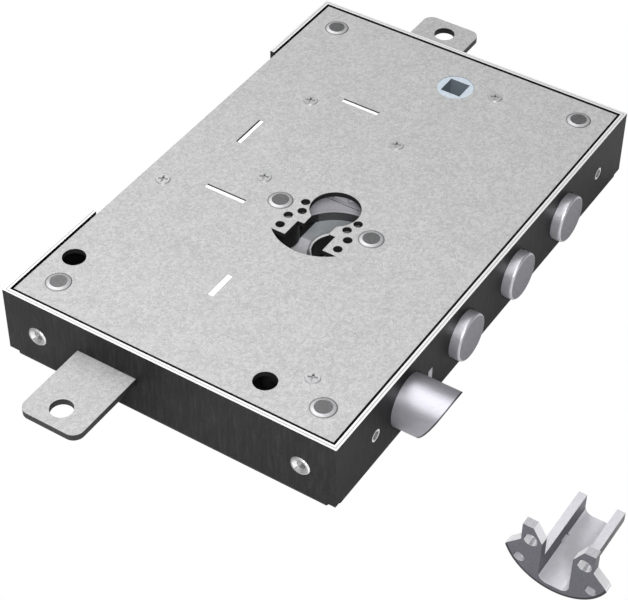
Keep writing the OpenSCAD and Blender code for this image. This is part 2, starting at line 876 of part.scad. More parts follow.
module deadbolt(i)
  color([0.62, 0.62, 0.68])
    translate([0, bolt_places[i], bolt_z])
      rotate([0, 90, 0])
        rotate_extrude($fn = 96)
          polygon(concat([[0, flange_x], [stud_r, flange_x], [stud_r, bolt_rear], [bolt_d / 2, bolt_rear]],
                         [for (a = [0:15:90])
                            [bolt_d / 2 - bolt_round * (1 - cos(a)), x_front + bolt_out - bolt_round * (1 - sin(a))]],
                         [[0, x_front + bolt_out]]));

// What the latch's curved bevel takes away, with the tip at the origin
module bevel_cut() {
  last = asin(sin(latch_bevel) + 2.3 * latch_r / latch_bevel_r);
  step = (last - latch_bevel + 2) / 14;
  polygon(concat([for (i = [0:14])
                    let (a = latch_bevel - 2 + i * step)
                    [latch_bevel_r * (cos(a) - cos(latch_bevel)), latch_bevel_r * (sin(latch_bevel) - sin(a))]],
                 [[4 * latch_r, -2.3 * latch_r], [4 * latch_r, 2 * latch_r]]));
}

// The latch
module latch_bolt()
  color([0.62, 0.62, 0.68])
    difference() {
      union() {
        difference() {
          x_rod(latch_y, latch_z, latch_r, latch_step, x_front + latch_out);
          translate([x_front + latch_out, latch_y + 2 * latch_r, latch_z + latch_r])
            rotate([90, 0, 0])
              linear_extrude(4 * latch_r)
                bevel_cut();
        }
        x_rod(latch_y, latch_z, latch_slim_r, latch_rear, latch_step + eps);
        x_rod(latch_y, latch_z, spindle_r, spindle_end, latch_rear + eps);
        slab(drive_block_x - block_half, drive_block_x + block_half, latch_y - 6.7, latch_y + 6.3,
             latch_z - 5, crank_z - free_gap);
      }
      slab(drive_block_x - crank_pin_r - pin_play, drive_block_x + crank_pin_r + pin_play,
           latch_y - 8, latch_y + 4, latch_z + spindle_r + 0.4, crank_z);
    }

// A ring of a swept wire at a place along X, square to the coil's own direction
spring_wire_r = 0.7;
spring_coil_r = 5.6;
spring_turns = 9;
spring_x0 = blades[3][2] + blade_t / 2 + spring_wire_r + 0.05;
spring_x1 = drive_block_x - block_half - spring_wire_r - 0.05;
spring_rings = 14 * spring_turns;
spring_sides = 6;
spring_rise = (spring_x1 - spring_x0) / spring_turns;
spring_tilt = atan2(spring_rise, 2 * PI * spring_coil_r);
function coil_point(i, k) =
  let (turn = i / spring_rings * spring_turns * 360)
  let (a = k * 360 / spring_sides)
  let (out = spring_coil_r + spring_wire_r * cos(a))
  let (side = spring_wire_r * sin(a))
  [spring_x0 + i / spring_rings * (spring_x1 - spring_x0) + side * cos(spring_tilt),
   latch_y + out * cos(turn) + side * sin(spring_tilt) * sin(turn),
   latch_z + out * sin(turn) - side * sin(spring_tilt) * cos(turn)];

module latch_spring()
  color([0.5, 0.5, 0.52])
    polyhedron(
      points = concat([for (i = [0:spring_rings]) for (k = [0:spring_sides - 1]) coil_point(i, k)],
                      [[spring_x0, latch_y + spring_coil_r, latch_z], [spring_x1, latch_y + spring_coil_r, latch_z]]),
      faces = concat(
        [for (i = [0:spring_rings - 1]) for (k = [0:spring_sides - 1])
          [i * spring_sides + k, i * spring_sides + (k + 1) % spring_sides,
           (i + 1) * spring_sides + (k + 1) % spring_sides]],
        [for (i = [0:spring_rings - 1]) for (k = [0:spring_sides - 1])
          [i * spring_sides + k, (i + 1) * spring_sides + (k + 1) % spring_sides,
           (i + 1) * spring_sides + k]],
        [for (k = [0:spring_sides - 1])
          [(k + 1) % spring_sides, k, (spring_rings + 1) * spring_sides]],
        [for (k = [0:spring_sides - 1])
          [spring_rings * spring_sides + k, spring_rings * spring_sides + (k + 1) % spring_sides,
           (spring_rings + 1) * spring_sides + 1]]));

// The crank between the link bar and the latch
module latch_crank()
  color([0.7, 0.7, 0.72])
    translate(crank_place) {
      difference() {
        union() {
          translate([0, 0, crank_z])
            linear_extrude(crank_t) {
              strip([0, 0], polar(crank_in, -40), 4);
              strip([0, 0], polar(crank_out, 50), 4);
              circle(r = 5.5, $fn = 48);
            }
          rod(polar(crank_in, -40), crank_pin_r, crank_z, link_z + link_t);
          rod(polar(crank_out, 50), crank_pin_r, latch_z + spindle_r + 1, crank_z + crank_t);
        }
        rod([0, 0], axle_r + run_fit, 0, case_h);
      }
    }

module crank_post()
  color([0.6, 0.6, 0.6]) {
    rod(crank_place, axle_r, sheet, cover_low);
    rod(crank_place, 5, sheet, crank_z - free_gap);
  }

module crank_clip()
  color([0.3, 0.3, 0.32])
    clip(crank_place, crank_z + crank_t + 0.2);

// The bar from the follower's lever to the crank
lever_pin_y = follower_y + lever_r * sin(lever_start);
link_low_y = crank_place[1] - crank_in * sin(40);
link_travel = 2 * crank_in * sin(40);
module link_bar()
  color([0.7, 0.7, 0.72])
    translate([0, 0, link_z])
      linear_extrude(link_t)
        difference() {
          union() {
            area(link_x[0], link_x[1], link_low_y - 2, lever_pin_y + 5.5);
            area(24, 34.6, link_low_y - 4.5, link_low_y + 4.5);
            area(24, 34.6, lever_pin_y - 5.5, lever_pin_y + 5.5);
          }
          strip([crank_place[0] + crank_in * cos(40) - 0.5, link_low_y],
                [crank_place[0] + crank_in + 0.5, link_low_y], crank_pin_r + pin_play);
          strip([link_pin_x - 0.5, lever_pin_y], [lever_r + 0.5, lever_pin_y], crank_pin_r + pin_play);
        }

module handle_follower()
  color([0.6, 0.66, 0.7])
    translate([0, follower_y])
      difference() {
        union() {
          rod([0, 0], hub_r, 0.2, cover_top - 0.1);
          rod([0, 0], hub_r + 1.5, bar_z - 4, bar_top + 0.2);
          translate([0, 0, bar_z + 0.2])
            linear_extrude(bar_t)
              strip([0, 0], polar(lever_r, lever_start), 4);
          rod(polar(lever_r, lever_start), crank_pin_r, bar_top, link_z + link_t);
        }
        translate([0, 0, case_h / 2])
          cube([square_w, square_w, 2 * case_h], center = true);
      }

// The loose cradle, which stands on its flange and its channel beside the lock

// Outline of the flange seen from its face, standing on y = 0
module cradle_outline() {
  tab = [12.4, 24.4];
  difference() {
    intersection() {
      translate([0, cradle_r])
        circle(r = cradle_r, $fn = 128);
      polygon([[-cradle_r, -1], [cradle_r, -1], [cradle_r, 9.2], [16.9, 12.6], [tab[0], 17.2], tab,
               [8.6, tab[1]], [channel_half, 19], [-channel_half, 19], [-8.6, tab[1]],
               [-tab[0], tab[1]], [-tab[0], 17.2], [-16.9, 12.6], [-cradle_r, 9.2]]);
    }
    channel_outline();
    for (side = [-1, 1]) {
      translate([side * 9.2, 18.6])
        circle(r = cradle_hole_r, $fn = 48);
      translate([side * 12.4, 8.7])
        circle(r = cradle_low_r, $fn = 48);
    }
  }
}

module channel_outline() {
  round = 3;
  floor = channel_wall - 0.5;
  for (side = [-1, 1])
    translate([side * (channel_half - round), floor + round])
      circle(r = round, $fn = 64);
  area(-channel_half + round, channel_half - round, floor, 3 * channel_h);
  area(-channel_half, channel_half, floor + round, 3 * channel_h);
}

module cylinder_cradle()
  color([0.66, 0.65, 0.7])
    translate([cradle_x, cradle_y, 0])
      difference() {
        cradle_body();
        slab(-channel_half - 2 * channel_wall, 0, cradle_slot[0], cradle_slot[1], cradle_slot[2], cradle_slot[3]);
      }

module cradle_body() {
  translate([0, cradle_t, 0])
    rotate([90, 0, 0])
      linear_extrude(cradle_t)
        cradle_outline();
  translate([0, cradle_len, 0])
    rotate([90, 0, 0])
      linear_extrude(cradle_len - cradle_t + eps)
        difference() {
          union() {
            translate([0, channel_half + channel_wall])
              circle(r = channel_half + channel_wall, $fn = 96);
            area(-channel_half - channel_wall, channel_half + channel_wall,
                 channel_half + channel_wall, channel_h);
          }
          channel_outline();
          area(-cradle_r, cradle_r, channel_h, 3 * channel_h);
        }
}

// The pieces
case_tray();
cover_plate();
corner_posts();
protector_posts();
cover_pillars();
cover_screws();
wall_nuts();
front_guide_plate();
gear_plate();
upper_plate();
chassis_pillars();
cylinder_cup();
cam_gear();
drive_gear();
reversing_pinion();
carriage_gear();
drive_axle();
reversing_axle();
carriage_axle();
axle_clips();
upper_rod();
lower_rod();
upper_rod_guide();
lower_rod_guide();
upper_blade();
rod_divider();
lower_blade();
spindle_guide();
bolt_carriage();
carriage_pin();
deadbolt(0);  // deadbolt_lower
deadbolt(1);  // deadbolt_middle
deadbolt(2);  // deadbolt_upper
latch_bolt();
latch_spring();
latch_crank();
crank_post();
crank_clip();
link_bar();
handle_follower();
cylinder_cradle();
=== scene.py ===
# %% [markdown]
# # A multipoint door lock
# The real lock sits inside an armoured door: a folded steel case with a galvanised cover, three
# round deadbolts, a bevelled latch, and two flat rods that lock the door at its top and bottom.
# Its pieces come packed from a CAD model and stay where they are. They could be modelled again
# here, but then two models would have to agree, so this notebook only gives them their finishes,
# makes one spring that has to flatten, and sets up the floor, the lamps and the camera.

# %% Load the frame
import bpy
import math
from mathutils import Matrix, Vector


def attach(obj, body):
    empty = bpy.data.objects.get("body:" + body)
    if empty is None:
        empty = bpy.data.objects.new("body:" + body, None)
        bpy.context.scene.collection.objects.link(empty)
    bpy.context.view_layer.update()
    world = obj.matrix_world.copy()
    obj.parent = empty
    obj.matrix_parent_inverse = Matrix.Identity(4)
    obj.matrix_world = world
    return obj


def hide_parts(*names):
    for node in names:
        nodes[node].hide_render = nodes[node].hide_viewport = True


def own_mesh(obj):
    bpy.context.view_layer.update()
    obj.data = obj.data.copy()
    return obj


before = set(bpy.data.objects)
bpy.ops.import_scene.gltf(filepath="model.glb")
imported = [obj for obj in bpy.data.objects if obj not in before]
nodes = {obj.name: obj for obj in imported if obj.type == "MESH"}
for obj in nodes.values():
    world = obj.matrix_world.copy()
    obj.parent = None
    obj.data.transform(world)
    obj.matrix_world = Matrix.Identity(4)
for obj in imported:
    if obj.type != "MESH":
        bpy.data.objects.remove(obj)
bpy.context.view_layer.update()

# %% [markdown]
# The CAD is drawn in millimetres and Blender works in metres, so one factor turns the one into
# the other. Heights on the lock could be typed in again, but they are read from the points of the
# pieces themselves, so the masks below follow the model when one of its sizes changes.

# %% Units and heights
MM = 0.001


def span(name, axis):
    """Lowest and highest place of a CAD piece along one axis, in millimetres."""
    places = [point.co["XYZ".index(axis)] / MM for point in nodes[name].data.vertices]
    return min(places), max(places)


COVER_TOP = span("cover_plate", "Z")[1]
WALL_TOP = span("case_tray", "Z")[1]
print("cover at", round(COVER_TOP, 2), "mm, walls up to", round(WALL_TOP, 2), "mm")

# %% [markdown]
# ## Materials
# A finish such as galvanising is made of nodes: a texture gives a value, and the value drives the
# colour and the roughness of one shader. Each node could be typed out on its own, but every
# finish needs the same few steps, so a class keeps one material's tree and adds nodes to it.
# The class grows over the next four cells, from plain nodes to a finished skin.

# %% A tree of nodes
class Tree:
    """The node tree of one material, with its shader."""

    def __init__(self, name, metallic, roughness):
        self.material = bpy.data.materials.new(name)
        self.material.use_nodes = True
        self.tree = self.material.node_tree
        self.shader = self.tree.nodes["Principled BSDF"]
        self.shader.inputs["Metallic"].default_value = metallic
        self.shader.inputs["Roughness"].default_value = roughness
        self.space = self.tree.nodes.new("ShaderNodeTexCoord")

    def node(self, kind, **settings):
        made = self.tree.nodes.new(kind)
        for key, value in settings.items():
            setattr(made, key, value)
        return made

    def link(self, out, into):
        self.tree.links.new(out, into)

    def feed(self, socket, value):
        """Give a socket a number, a colour or the output of another node."""
        if isinstance(value, (int, float)):
            socket.default_value = value
        elif isinstance(value, tuple):
            socket.default_value = (*value, 1)
        else:
            self.link(value, socket)


# %% [markdown]
# Values are worked out by Math nodes and turned into colours by Mix nodes and colour ramps.
# A Mix node has one set of sockets for each kind of data, so its colours are found by number.
# Most finishes run between two shades over the middle of a noise, where its values are commonest.

# %% Sums, blends and ramps
MIX_FACTOR, MIX_FIRST, MIX_SECOND, MIX_RESULT = 0, 6, 7, 2
SHADE_START, SHADE_END = 0.3, 0.7


class Blends(Tree):
    """Adds sums, blends and colour ramps."""

    def math(self, operation, a, b=0.0):
        made = self.node("ShaderNodeMath", operation=operation)
        self.feed(made.inputs[0], a)
        self.feed(made.inputs[1], b)
        return made.outputs[0]

    def both(self, a, b):
        """1 where both masks are 1. A mask times a number is a weaker mask."""
        return self.math("MULTIPLY", a, b)

    def mix(self, mask, off, on):
        """The colour off where the mask is 0, and the colour on where it is 1."""
        made = self.node("ShaderNodeMix", data_type="RGBA")
        self.feed(made.inputs[MIX_FACTOR], mask)
        self.feed(made.inputs[MIX_FIRST], off)
        self.feed(made.inputs[MIX_SECOND], on)
        return made.outputs[MIX_RESULT]

    def ramp(self, value, stops):
        made = self.node("ShaderNodeValToRGB")
        ends = made.color_ramp.elements
        for shaded_end, (place, colour) in ((ends[0], stops[0]), (ends[1], stops[-1])):
            shaded_end.position = place
            shaded_end.color = (*colour, 1)
        for place, colour in stops[1:-1]:
            ends.new(place).color = (*colour, 1)
        self.link(value, made.inputs["Fac"])
        return made.outputs["Color"]

    def shades(self, value, low, high):
        return self.ramp(value, [(SHADE_START, low), (SHADE_END, high)])


# %% [markdown]
# One CAD piece often has two finishes, such as a rivet's dull face and its bright rim. The piece
# could be cut into several materials, but a mask does it without touching the mesh: it is 1 where
# a point lies above a height, near a line or on a face that looks along an axis.

# %% Grain and masks
class Masks(Blends):
    """Adds grain and masks in the piece's own space. Their places are in millimetres."""

    def scaled(self, scale):
        """The piece's own coordinates in millimetres, stretched by scale."""
        mapping = self.node("ShaderNodeMapping")
        mapping.inputs["Scale"].default_value = [s / MM for s in scale]
        self.link(self.space.outputs["Object"], mapping.inputs["Vector"])
        return mapping.outputs["Vector"]

    def noise(self, scale, detail=3.0, rough=0.5):
        made = self.node("ShaderNodeTexNoise")
        made.inputs["Scale"].default_value = 1.0
        made.inputs["Detail"].default_value = detail
        made.inputs["Roughness"].default_value = rough
        self.link(self.scaled(scale), made.inputs["Vector"])
        return made.outputs["Fac"]

    def part(self, output, axis):
        """One component of the Object or Normal output of the texture space."""
        split = self.node("ShaderNodeSeparateXYZ")
        self.link(self.space.outputs[output], split.inputs[0])
        return split.outputs[axis]

    def above(self, axis, place):
        return self.math("GREATER_THAN", self.part("Object", axis), place * MM)

    def below(self, axis, place):
        return self.math("LESS_THAN", self.part("Object", axis), place * MM)

    def facing(self, axis, least):
        return self.math("GREATER_THAN", self.part("Normal", axis), least)

    def offset(self, axis, place):
        """How far a point lies beyond a place, in metres."""
        return self.math("SUBTRACT", self.part("Object", axis), place * MM)

    def radius(self, a, b):
        """The distance from an axis, from two offsets."""
        return self.math("SQRT", self.math("ADD", self.both(a, a), self.both(b, b)))

    def within(self, value, middle, reach):
        """1 where a value lies closer to middle than reach."""
        away = self.math("ABSOLUTE", self.math("SUBTRACT", value, middle * MM))
        return self.math("LESS_THAN", away, reach * MM)

    def near(self, axis, middle, reach):
        return self.within(self.part("Object", axis), middle, reach)


# %% [markdown]
# The last step connects values to the shader: its base colour, its roughness and a slight relief.
# The relief is a bump, which only turns the light, because grain this fine isn't worth a mesh.

# %% Skin of a piece
class Skin(Masks):
    """A finish: a material whose colour, roughness and relief are set by nodes."""

    def colour(self, value):
        self.link(value, self.shader.inputs["Base Color"])

    def rough(self, value, low, high):
        spread = self.node("ShaderNodeMapRange")
        spread.inputs["To Min"].default_value = low
        spread.inputs["To Max"].default_value = high
        self.link(value, spread.inputs["Value"])
        self.link(spread.outputs["Result"], self.shader.inputs["Roughness"])

    def bump(self, height, strength, distance):
        made = self.node("ShaderNodeBump")
        made.inputs["Strength"].default_value = strength
        made.inputs["Distance"].default_value = distance * MM
        self.link(height, made.inputs["Height"])
        self.link(made.outputs["Normal"], self.shader.inputs["Normal"])


def dress(skin, *names):
    """Give a finish to the CAD nodes of these names."""
    for name in names:
        slots = nodes[name].material_slots
        if not slots:
            nodes[name].data.materials.append(skin.material)
        for slot in slots:
            slot.material = skin.material
    print(skin.material.name, "on", len(names), "nodes")


# %% [markdown]
# Steel is a neutral grey, but polished and cast metal has a slight lilac tone in the photograph.
# Both could be typed as three numbers each time. Two functions say which of them is meant.

# %% Greys
def grey(value):
    return (value, value, value)


def lilac(value, less_green=0.005):
    return (value, value - less_green, value + 0.03)


print("grey", grey(0.5), "lilac", lilac(0.5))

# %% [markdown]
# ## The case
# The case is dark steel sheet with a faint upright grain and small pale specks. One noise that is
# stretched along the walls' height makes the grain, and a finer one makes the specks. The side
# with the bolts and the fold at the foot lie in the shade, so two masks darken them.

# %% Tone of the dark sheet
FOLD_TOP = 1.6
NEARLY_BLACK = grey(0.003)

dark = Skin("dark_sheet", 0.35, 0.5)
grain = dark.noise((0.9, 0.9, 0.12), 4.0, 0.6)
specks = dark.noise((2.2, 2.2, 1.4), 2.0, 0.6)
tone = dark.ramp(grain, [(0.3, (0.008, 0.008, 0.0082)), (0.55, (0.016, 0.016, 0.0164)),
                         (0.75, (0.03, 0.03, 0.0305))])
tone = dark.mix(dark.ramp(specks, [(0.58, grey(0)), (0.75, grey(0.35))]), tone,
                (0.05, 0.05, 0.051))
tone = dark.mix(dark.both(dark.facing("X", 0.9), 0.75), tone, NEARLY_BLACK)
tone = dark.mix(dark.both(dark.below("Z", FOLD_TOP), 0.8), tone, grey(0.002))
print("dark sheet has", len(dark.tree.nodes), "nodes so far")

# %% [markdown]
# The sawn upper edges of the walls are bare metal, so they are nearly white, with a fine grey
# line along their middle. A mask on height and direction finds the edges. The line could be a
# groove in the mesh, but it is only 0.3 mm wide, so it is drawn where the distance from the
# outside of the case is half the sheet.

# %% Bare edges of the case
SHEET = 1.8
EDGE_DEPTH = 0.5
LINE_REACH = 0.16


def past_wall(skin, axis):
    """How far a point lies outside the case along one axis, less than 0 inside it."""
    low, high = span("case_tray", axis)
    away = skin.math("ABSOLUTE", skin.offset(axis, (low + high) / 2))
    return skin.math("SUBTRACT", away, (high - low) / 2 * MM)


edge = dark.both(dark.above("Z", WALL_TOP - EDGE_DEPTH), dark.facing("Z", 0.9))
outside = dark.math("MAXIMUM", past_wall(dark, "X"), past_wall(dark, "Y"))
bare = dark.mix(dark.within(outside, -SHEET / 2, LINE_REACH), grey(0.6), grey(0.3))
dark.colour(dark.mix(edge, tone, bare))
dark.shader.inputs["Specular IOR Level"].default_value = 0.14
dark.rough(grain, 0.42, 0.6)
dark.bump(specks, 0.25, 0.05)
dress(dark, "case_tray")

# %% [markdown]
# ## Galvanised sheet
# The cover and the rods are dipped in zinc, which sets in small lighter and darker crystals.
# A Voronoi texture gives crystals, and two noises give a fine speckle and soft clouds. The speckle
# counts most, because the crystals are small here. The cut sides of the sheet are painted nearly
# black, as painted shade.

# %% Galvanised finish
CRYSTAL_SCALE = (1.1, 1.1, 1.1)
CRYSTAL_SHARE, SPECKLE_SHARE, CLOUD_SHARE = 0.16, 0.72, 0.1


def galvanised(name, low, high):
    """A galvanised skin and its colour, between two greys."""
    skin = Skin(name, 0.25, 0.5)
    crystals = skin.node("ShaderNodeTexVoronoi", feature="F1")
    crystals.inputs["Scale"].default_value = 1.0
    skin.link(skin.scaled(CRYSTAL_SCALE), crystals.inputs["Vector"])
    shade = skin.node("ShaderNodeRGBToBW")
    skin.link(crystals.outputs["Color"], shade.inputs[0])
    speckle = skin.noise((2.2, 2.2, 2.2), 4.0, 0.7)
    cloud = skin.noise((0.12, 0.12, 0.12), 3.0, 0.6)
    mixed = skin.math("ADD", skin.math("MULTIPLY", shade.outputs[0], CRYSTAL_SHARE),
                      skin.math("MULTIPLY", speckle, SPECKLE_SHARE))
    mixed = skin.math("ADD", mixed, skin.math("MULTIPLY", cloud, CLOUD_SHARE))
    tone = skin.ramp(mixed, [(0.38, grey(low)), (0.54, grey((low + high) / 2)),
                             (0.72, grey(high))])
    # Painted shade: faces that don't lie level, the cut sides, are nearly black.
    flat = skin.math("GREATER_THAN", skin.math("ABSOLUTE", skin.part("Normal", "Z")), 0.5)
    skin.rough(mixed, 0.5, 0.68)
    skin.bump(speckle, 0.12, 0.03)
    return skin, skin.mix(flat, grey(0.012), tone)


cover, cover_tone = galvanised("galvanised_sheet", 0.27, 0.49)
cover.colour(cover_tone)
dress(cover, "cover_plate")

# %% [markdown]
# The rods are a shade darker than the cover. The end of one rod's rack is seen through the
# cylinder's opening, where it is bright cut metal. A mask round that end and off its flat faces
# paints it, so that the rod stays one piece.

# %% Rods
# Middle and reach of the rack's end along each axis
RACK_END = {"X": (-4, 9), "Y": (23, 4)}

rods, rod_tone = galvanised("rod_steel", 0.26, 0.46)
rack_end = rods.both(rods.near("Y", *RACK_END["Y"]), rods.near("X", *RACK_END["X"]))
cut_side = rods.math("LESS_THAN", rods.part("Normal", "Z"), 0.5)
rods.colour(rods.mix(rods.both(rack_end, cut_side), rod_tone, lilac(0.7, 0.01)))
dress(rods, "upper_rod", "lower_rod")

# %% [markdown]
# ## Rivets and posts
# The posts are riveted into the cover: a mid-grey face inside a paler chamfered rim, with a thin
# grey line of painted shadow where the head meets the sheet. Direction finds the face and height
# finds the line.
# The same posts are nearly black inside the case, where little light falls on them.

# %% Rivets and posts
HEAD_SHADOW_LOW, HEAD_SHADOW_HIGH = 0.5, 0.16
INSIDE_MIDDLE, INSIDE_REACH = 15, 12.3

rivet = Skin("rivet_steel", 0.4, 0.4)
turned = rivet.noise((1.4, 1.4, 1.4), 3.0, 0.6)
rim = rivet.shades(turned, (0.34, 0.34, 0.35), (0.42, 0.42, 0.43))
# Painted shadow: a grey line round the foot of the head, where it meets the sheet.
head_shadow_line = rivet.both(rivet.above("Z", COVER_TOP - HEAD_SHADOW_LOW),
                       rivet.below("Z", COVER_TOP + HEAD_SHADOW_HIGH))
rim = rivet.mix(head_shadow_line, rim, grey(0.15))
rim = rivet.mix(rivet.near("Z", INSIDE_MIDDLE, INSIDE_REACH), rim, grey(0.015))
face = rivet.shades(turned, (0.072, 0.072, 0.073), (0.118, 0.118, 0.12))
rivet.colour(rivet.mix(rivet.facing("Z", 0.98), rim, face))
rivet.rough(turned, 0.35, 0.5)
dress(rivet, "corner_posts", "protector_posts", "cover_pillars", "chassis_pillars", "drive_axle",
      "reversing_axle", "carriage_axle", "carriage_pin")

# %% [markdown]
# ## Blades
# Flat blades stand under the cover, and a tab of each fills a slot in it. The tabs are bright on
# top, and three of them show a thin dark line along the slot. The line could be a gap in the mesh,
# but it is finer than the bevels, so it is drawn at a place measured on the cover.

# %% Blades and their tabs
TAB_DEPTH = 0.2
LINE_HALF_WIDTH, LINE_HALF_LENGTH = 0.3, 9
# Each line: the axis across it, its place there, the axis along it and its middle there
TAB_LINES = (("Y", 55.5, "X", -23.8), ("Y", -13.6, "X", -37.5), ("X", -50.9, "Y", 19.85))

blade = Skin("blade_steel", 0.4, 0.4)
brushed = blade.noise((0.3, 0.3, 3.0), 3.0, 0.6)
tab_lines = 0.0
for across, place, along, middle in TAB_LINES:
    line = blade.both(blade.near(across, place, LINE_HALF_WIDTH),
                      blade.near(along, middle, LINE_HALF_LENGTH))
    tab_lines = blade.math("MAXIMUM", line, tab_lines)
tab = blade.both(blade.above("Z", COVER_TOP - TAB_DEPTH), blade.facing("Z", 0.6))
body = blade.shades(brushed, (0.32, 0.32, 0.34), (0.46, 0.46, 0.48))
blade.colour(blade.mix(tab, body, blade.mix(tab_lines, grey(0.88), grey(0.01))))
blade.rough(brushed, 0.3, 0.5)
dress(blade, "upper_blade", "rod_divider", "lower_blade", "spindle_guide", "front_guide_plate")

# %% [markdown]
# ## Clips
# The clips that hold the wheels on their axles are dark, oiled spring steel. One soft noise is
# enough, because they are small and mostly hidden.

# %% Clips
clips = Skin("clip_steel", 0.9, 0.35)
oiled = clips.noise((0.8, 0.8, 0.8), 2.0, 0.5)
clips.colour(clips.shades(oiled, (0.05, 0.05, 0.055), (0.1, 0.1, 0.11)))
clips.rough(oiled, 0.28, 0.42)
dress(clips, "axle_clips", "crank_clip")

# %% [markdown]
# ## Bolts and latch
# The deadbolts are turned from round bar. Their sides are bright, painted a little paler as a
# painted highlight, with fine rings from the tool, and their flat ends look darker and are painted
# darker, as painted shade. The rings could be cut into the mesh, but a noise that is fine round the
# bolt and long along it reads the same.

# %% Deadbolts
TURNED_GRAIN = (0.5, 2.5, 2.5)

bolts = Skin("bolt_steel", 0.75, 0.4)
turned = bolts.noise(TURNED_GRAIN, 4.0, 0.6)
# Painted light: the sides are a little paler, as a painted highlight, and the ends darker, as
# painted shade.
side = bolts.shades(turned, lilac(0.46), lilac(0.56))
shaded_end = bolts.shades(bolts.noise((1.0, 1.6, 0.5), 4.0, 0.6), (0.145, 0.142, 0.162),
                   (0.22, 0.216, 0.236))
bolts.colour(bolts.mix(bolts.facing("X", 0.95), side, shaded_end))
bolts.rough(turned, 0.34, 0.48)
dress(bolts, "deadbolt_lower", "deadbolt_middle", "deadbolt_upper")

# %% [markdown]
# The latch is ground to a hollow bevel, which is part of a large cylinder. Along its edge a dark
# line of painted shade stands for the bevel's face seen edge-on, and the line is found by its
# distance from that cylinder's axis.

# %% Latch
BEVEL_X, BEVEL_Z, BEVEL_R = 20.54, 47.76, 63.8
BEVEL_SHADE_INSET, BEVEL_SHADE_REACH = 0.3, 0.24

latch = Skin("latch_steel", 0.78, 0.4)
turned = latch.noise(TURNED_GRAIN, 4.0, 0.6)
side = latch.shades(turned, lilac(0.36), lilac(0.42))
from_bevel_axis = latch.radius(latch.offset("X", BEVEL_X), latch.offset("Z", BEVEL_Z))
# Painted shade: a thin dark line along the bevel's edge.
bevel_shade_line = latch.within(from_bevel_axis, BEVEL_R - BEVEL_SHADE_INSET, BEVEL_SHADE_REACH)
latch.colour(latch.mix(bevel_shade_line, side, (0.05, 0.05, 0.055)))
latch.rough(turned, 0.38, 0.52)
dress(latch, "latch_bolt")

# %% [markdown]
# ## Small steel parts
# Screws, wheels and links are all steel with an even grain, so one function makes their finishes
# from two shades. The links behind the cover are painted nearly black, as painted shade, and the
# wheels are bright.

# %% Steel with an even grain
def steel(name, low, high, roughness, metallic, grain):
    skin = Skin(name, metallic, roughness)
    lines = skin.noise(grain, 4.0, 0.6)
    skin.colour(skin.shades(lines, low, high))
    skin.rough(lines, roughness - 0.05, roughness + 0.1)
    skin.bump(lines, 0.05, 0.02)
    return skin


WHEEL_GRAIN = (1.5, 1.5, 1.5)
screws = steel("screw_steel", (0.32, 0.32, 0.325), (0.43, 0.43, 0.435), 0.35, 0.4, (2, 2, 2))
dress(screws, "cover_screws")
wheels = steel("gear_steel", (0.5, 0.5, 0.51), (0.68, 0.68, 0.69), 0.4, 0.3, WHEEL_GRAIN)
dress(wheels, "drive_gear", "reversing_pinion", "carriage_gear", "bolt_carriage")
# Painted shade: the links are nearly black, as the dark inside of the case.
links = steel("link_steel", grey(0.008), grey(0.015), 0.5, 0.3, WHEEL_GRAIN)
dress(links, "latch_crank", "link_bar", "crank_post")

# %% [markdown]
# The threaded inserts in the walls are painted darker at the end walls, as painted shade, and paler
# in the bolt wall, as a painted highlight, so the direction of the face chooses between two shades.

# %% Threaded inserts
inserts = Skin("insert_steel", 0.5, 0.35)
lines = inserts.noise((2.0, 2.0, 2.0), 4.0, 0.6)
shaded_insert = inserts.shades(lines, grey(0.22), grey(0.34))
lit_insert = inserts.shades(lines, grey(0.6), grey(0.8))
inserts.colour(inserts.mix(inserts.facing("X", 0.5), shaded_insert, lit_insert))
inserts.rough(lines, 0.3, 0.45)
dress(inserts, "wall_nuts")

# %% [markdown]
# ## Inside the cylinder's opening
# The plates, the cup and the key's gear behind the opening are pressed or turned steel with the
# same faint marks, so one function makes the skin that they share. Each then gets its own colour.

# %% Shared skin of the inner parts
PRESSED_GRAIN = (1.2, 2.0, 2.0)


def pressed(name):
    """A skin with the marks of pressing, and the marks, still without a colour."""
    skin = Skin(name, 0.2, 0.5)
    marks = skin.noise(PRESSED_GRAIN, 4.0, 0.6)
    skin.rough(marks, 0.42, 0.58)
    return skin, marks


print("marks are stretched by", PRESSED_GRAIN)

# %% [markdown]
# Two pressed plates lie behind the cover. Their upper faces are pale and their cut sides are
# painted dark, as painted shade, which a mask on direction gives in one material.

# %% Inner plates
plates, marks = pressed("inner_plate")
upper_face = plates.shades(marks, lilac(0.52, 0.01), lilac(0.66, 0.01))
# Painted shade: faces that don't look up are nearly black.
plates.colour(plates.mix(plates.facing("Z", 0.5), grey(0.02), upper_face))
plates.bump(marks, 0.06, 0.02)
dress(plates, "gear_plate", "upper_plate")

# %% [markdown]
# The cup holds the key cylinder's gear. In the photograph its floor is paler at the near end and
# on the rim, and dark in the left corner. Lamps alone could do this, but the
# cup lies too deep for them to shade it without changing the rest of the lock.

# %% Cup
NEAR_END_Y, DARK_WALL_X, DARK_FLOOR_X, RIM_Z = 1.2, -14.5, -15.2, 12

cup, marks = pressed("cup_steel")
cup_floor = cup.shades(marks, (0.35, 0.37, 0.39), (0.46, 0.485, 0.5))
# Painted light: the near end of the floor and the rim are paler. Painted shade: the left corner is
# dark.
cup_floor = cup.mix(cup.below("Y", NEAR_END_Y), cup_floor,
                    cup.shades(marks, lilac(0.6), lilac(0.76)))
cup_floor = cup.mix(cup.below("X", DARK_FLOOR_X), cup_floor, grey(0.02))
cup_floor = cup.mix(cup.above("Z", RIM_Z), cup_floor, lilac(0.6, 0.01))
# Painted shade: the cup's walls are dark, and nearly black on the left.
cup_wall = cup.mix(cup.below("X", DARK_WALL_X), (0.05, 0.05, 0.052), grey(0.006))
cup.colour(cup.mix(cup.facing("Z", 0.5), cup_wall, cup_floor))
dress(cup, "cylinder_cup")

